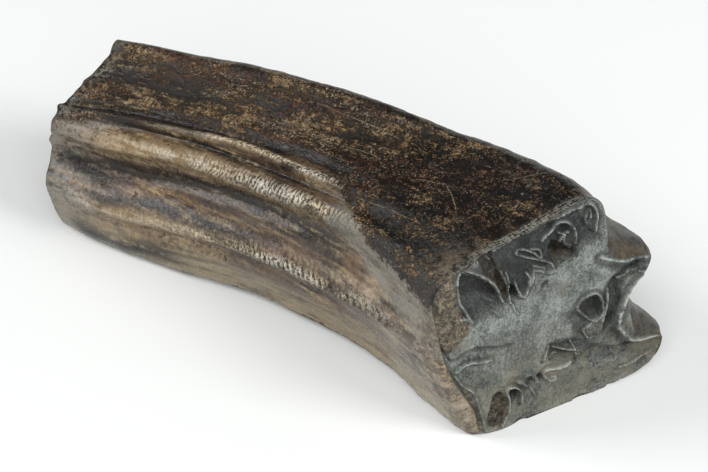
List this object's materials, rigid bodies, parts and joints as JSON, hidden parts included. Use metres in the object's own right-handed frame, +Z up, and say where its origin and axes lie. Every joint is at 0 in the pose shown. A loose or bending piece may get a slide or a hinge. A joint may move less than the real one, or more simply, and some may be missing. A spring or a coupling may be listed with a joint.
{
  "type": "fossil horse tooth",
  "caption": "Fossil upper cheek tooth of a horse: a long, gently curved crown with a folded enamel chewing face, ribbed sides and a broken root end, lying on its flat front face.",
  "frame": {"origin": "on the surface that the tooth lies on, below the middle of its bounding box", "axes": "+X along the crown towards the chewing face, +Y towards the cheek side with the three styles, +Z up, away from the flat front (mesial) face that it lies on"},
  "size_m": [0.0747, 0.0295, 0.0283],
  "materials": {
    "fossil_tooth": "mineralised enamel, dentine and cement: dark brown and grey, satin to glossy"
  },
  "bodies": {
    "root": {"fossil_tooth": "fossil_tooth"}
  },
  "joints": []
}
